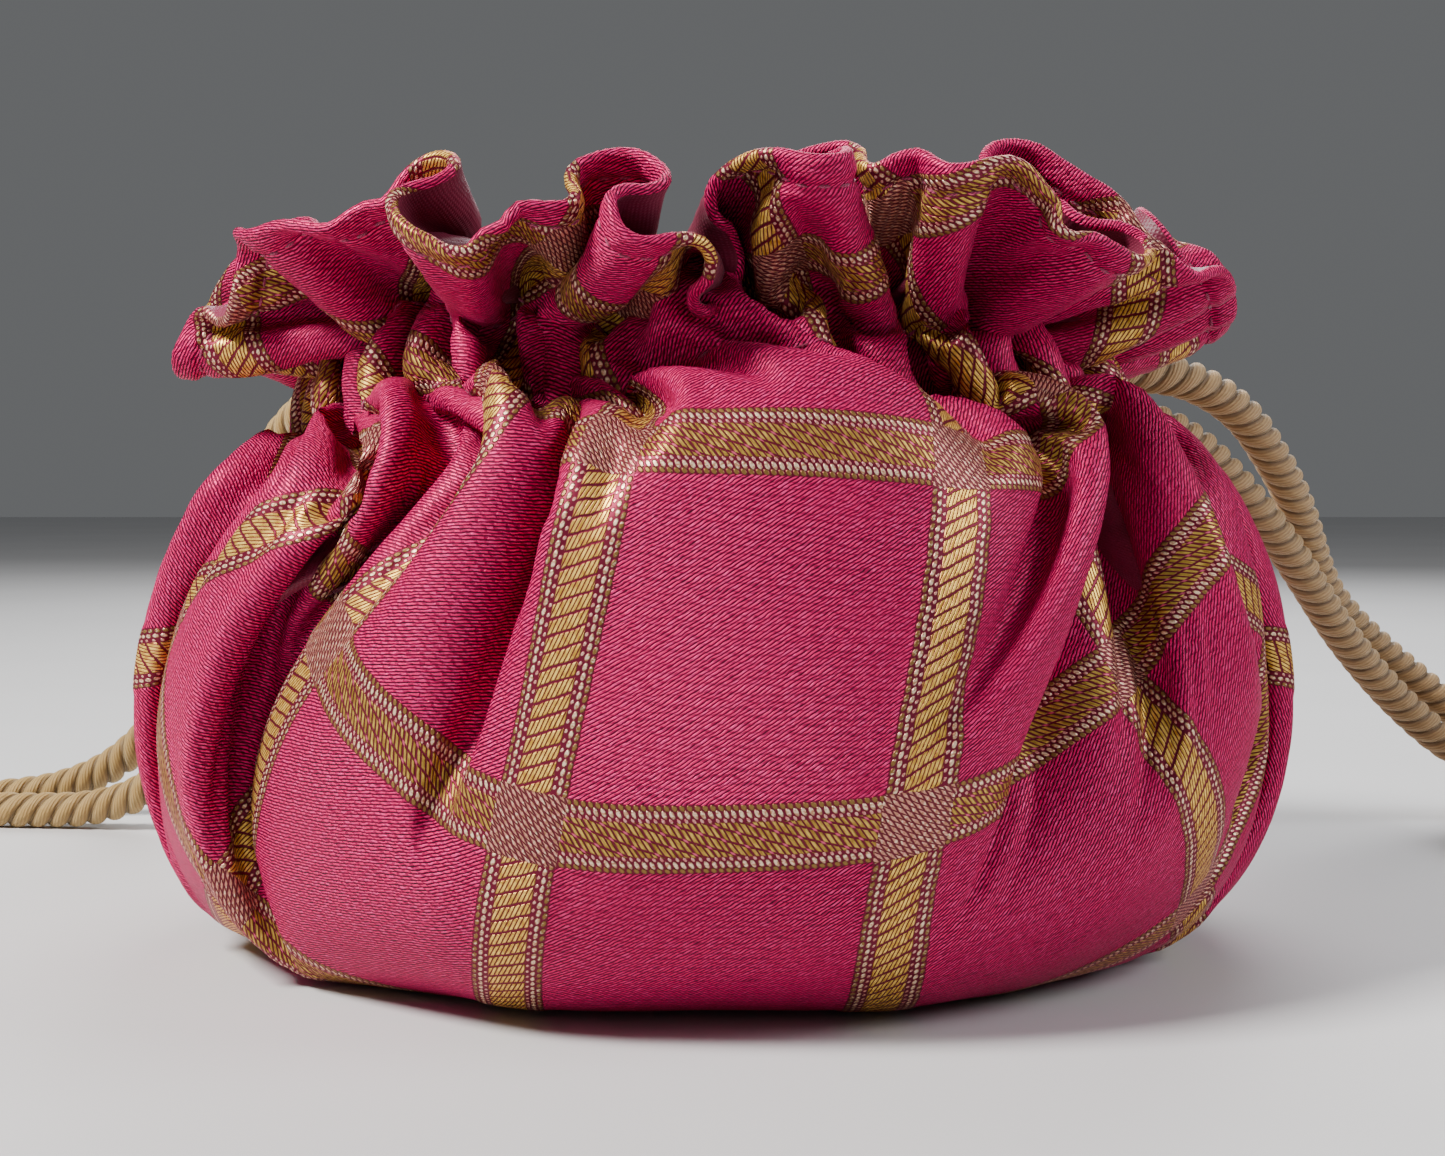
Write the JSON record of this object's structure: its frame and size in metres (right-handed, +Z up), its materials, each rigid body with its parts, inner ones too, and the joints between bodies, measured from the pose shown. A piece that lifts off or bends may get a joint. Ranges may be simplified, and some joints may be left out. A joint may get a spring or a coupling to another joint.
{
  "type": "drawstring pouch",
  "caption": "Round flat-bottomed drawstring dice bag: a lined circle of windowpane brocade gathered on two opposed cords, with a ruffled mouth.",
  "frame": {"origin": "centre of the flat base, on the table that the bag stands on", "axes": "+Z up out of the mouth, -Y the front, +X to the right seen from the front"},
  "size_m": [0.3972, 0.173, 0.105],
  "materials": {
    "brocade": "magenta satin ground with raised gold windowpane bands, soft sheen",
    "lining_satin": "plain dark maroon lining, matte with a faint sheen",
    "sewing_thread": "matching polyester thread",
    "twisted_cord": "three-strand twisted cord, antique gold, soft sheen"
  },
  "bodies": {
    "bag": {"outer_cloth": "brocade", "lining_cloth": "lining_satin", "rim_topstitch": "sewing_thread", "channel_stitch_lower": "sewing_thread", "channel_stitch_upper": "sewing_thread", "right_exit_stitching": "sewing_thread", "left_exit_stitching": "sewing_thread", "right_cord_in_channel": "twisted_cord", "left_cord_in_channel": "twisted_cord"},
    "right_drawstring": {"right_strand_upper": "twisted_cord", "right_strand_lower": "twisted_cord", "right_cord_coil": "twisted_cord", "right_cord_knot": "twisted_cord"},
    "left_drawstring": {"left_strand_upper": "twisted_cord", "left_strand_lower": "twisted_cord", "left_cord_coil": "twisted_cord", "left_cord_knot": "twisted_cord"}
  },
  "joints": [
    {"name": "right_drawstring_pull", "type": "slide", "parent": "bag", "child": "right_drawstring", "axis": [0.9063, 0.4226, 0], "range_m": [0, 0.012]},
    {"name": "left_drawstring_pull", "type": "slide", "parent": "bag", "child": "left_drawstring", "axis": [-0.766, 0.6428, 0], "range_m": [0, 0.012]}
  ]
}
